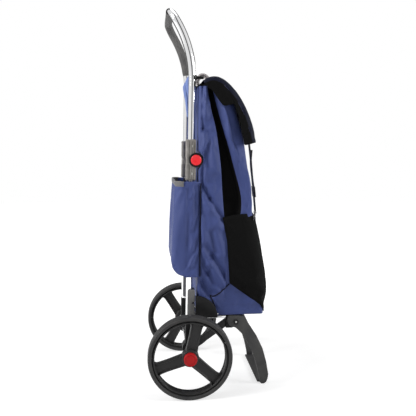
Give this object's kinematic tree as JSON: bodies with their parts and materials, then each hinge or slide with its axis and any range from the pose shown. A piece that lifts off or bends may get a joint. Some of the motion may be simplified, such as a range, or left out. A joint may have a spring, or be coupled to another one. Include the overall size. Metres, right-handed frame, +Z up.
{
  "type": "shopping trolley",
  "caption": "Upright shopping trolley with large rear wheels, folding tubular handle, fabric bag with flap and pockets, and a folding stand.",
  "frame": {"origin": "on the floor, at the middle of the trolley's bounding box", "axes": "+Z up, +X towards the bag's front, +Y along the axle to the left"},
  "size_m": [0.3326, 0.417, 1.0169],
  "materials": {
    "chrome_tube": "polished",
    "grip_rubber": "ribbed matt",
    "hinge_plastic": "fine texture",
    "black_plastic": "fine texture",
    "black_steel": "powder coat",
    "steel": "satin",
    "red_plastic": "satin",
    "tyre_rubber": "matt",
    "wheel_plastic": "fine texture",
    "white_plastic": "smooth",
    "blue_fabric": "coated polyester weave",
    "black_fabric": "matt weave",
    "navy_fabric": "coated polyester weave",
    "grey_binding": "woven binding",
    "cord_fabric": "braided",
    "board": "smooth"
  },
  "bodies": {
    "frame": {"axle": "steel", "axle_spacers": "steel", "axle_clips": "steel", "axle_leg_left": "black_plastic", "axle_leg_right": "black_plastic", "strut_left": "black_steel", "strut_right": "black_steel", "lower_tube_left": "chrome_tube", "lower_tube_right": "chrome_tube", "frame_clamp_left": "hinge_plastic", "frame_clamp_right": "hinge_plastic", "tray_cheek_left": "black_plastic", "tray_cheek_right": "black_plastic", "tray_rail_left": "chrome_tube", "tray_rail_right": "chrome_tube", "tray_cross_rods": "chrome_tube", "stand_bracket_left": "black_plastic", "stand_bracket_right": "black_plastic", "stand_pins": "steel", "lower_knuckle_left": "hinge_plastic", "lower_knuckle_right": "hinge_plastic", "lower_rivets": "steel", "hinge_pins": "steel", "bag_shell": "blue_fabric", "base_board": "board", "front_pocket": "black_fabric", "rear_pocket": "blue_fabric", "pocket_rim": "grey_binding", "pocket_ring": "steel"},
    "handle": {"handle_tube": "chrome_tube", "handle_grip": "grip_rubber", "hanger_bar": "chrome_tube", "hook_left": "black_plastic", "hook_right": "black_plastic", "hang_straps": "blue_fabric", "upper_knuckle_left": "hinge_plastic", "upper_knuckle_right": "hinge_plastic", "upper_rivets": "steel", "knob_ring_left": "black_plastic", "knob_ring_right": "black_plastic", "button_springs": "steel"},
    "button_left": {"release_button_left": "red_plastic"},
    "button_right": {"release_button_right": "red_plastic"},
    "wheel_left": {"tyre_left": "tyre_rubber", "wheel_rim_left": "wheel_plastic", "wheel_bush_left": "white_plastic", "wheel_cap_left": "red_plastic"},
    "wheel_right": {"tyre_right": "tyre_rubber", "wheel_rim_right": "wheel_plastic", "wheel_bush_right": "white_plastic", "wheel_cap_right": "red_plastic"},
    "stand": {"stand_leg_left": "black_plastic", "stand_leg_right": "black_plastic", "stand_foot": "black_plastic", "foot_pads": "tyre_rubber"},
    "flap": {"flap": "navy_fabric", "flap_loops": "cord_fabric"},
    "strap": {"closing_strap": "black_fabric", "strap_slider": "black_plastic", "snap_hook": "steel"}
  },
  "joints": [
    {"name": "handle_fold", "type": "hinge", "parent": "frame", "child": "handle", "pos_m": [-0.03484, 0, 0.61869], "axis": [0, 1, 0], "range_deg": [0, 150], "deforming": ["bag_shell", "front_pocket", "rear_pocket", "pocket_rim", "pocket_ring", "flap", "flap_loops", "closing_strap", "strap_slider", "snap_hook"]},
    {"name": "button_left_press", "type": "slide", "parent": "handle", "child": "button_left", "axis": [0, -1, 0], "range_m": [0, 0.004], "stiffness_N_per_m": 500, "springref_m": -0.002, "deforming": ["button_springs"]},
    {"name": "button_right_press", "type": "slide", "parent": "handle", "child": "button_right", "axis": [0, 1, 0], "range_m": [0, 0.004], "stiffness_N_per_m": 500, "springref_m": -0.002, "deforming": ["button_springs"]},
    {"name": "wheel_left_spin", "type": "hinge", "parent": "frame", "child": "wheel_left", "pos_m": [-0.05625, 0.185, 0.11], "axis": [0, 1, 0], "continuous": true},
    {"name": "wheel_right_spin", "type": "hinge", "parent": "frame", "child": "wheel_right", "pos_m": [-0.05625, -0.185, 0.11], "axis": [0, 1, 0], "continuous": true},
    {"name": "stand_fold", "type": "hinge", "parent": "frame", "child": "stand", "pos_m": [0.07475, 0, 0.178], "axis": [0, 1, 0], "range_deg": [0, 75]},
    {"name": "flap_open", "type": "hinge", "parent": "frame", "child": "flap", "pos_m": [-0.01825, 0, 0.822], "axis": [0, 1, 0], "range_deg": [-80, 0]},
    {"name": "strap_hang", "type": "hinge", "parent": "flap", "child": "strap", "pos_m": [0.12675, 0, 0.662], "axis": [0, 1, 0], "range_deg": [0, 80]}
  ],
  "couplings": [
    {"joint": "strap_hang", "follows": "flap_open", "ratio": -1}
  ]
}
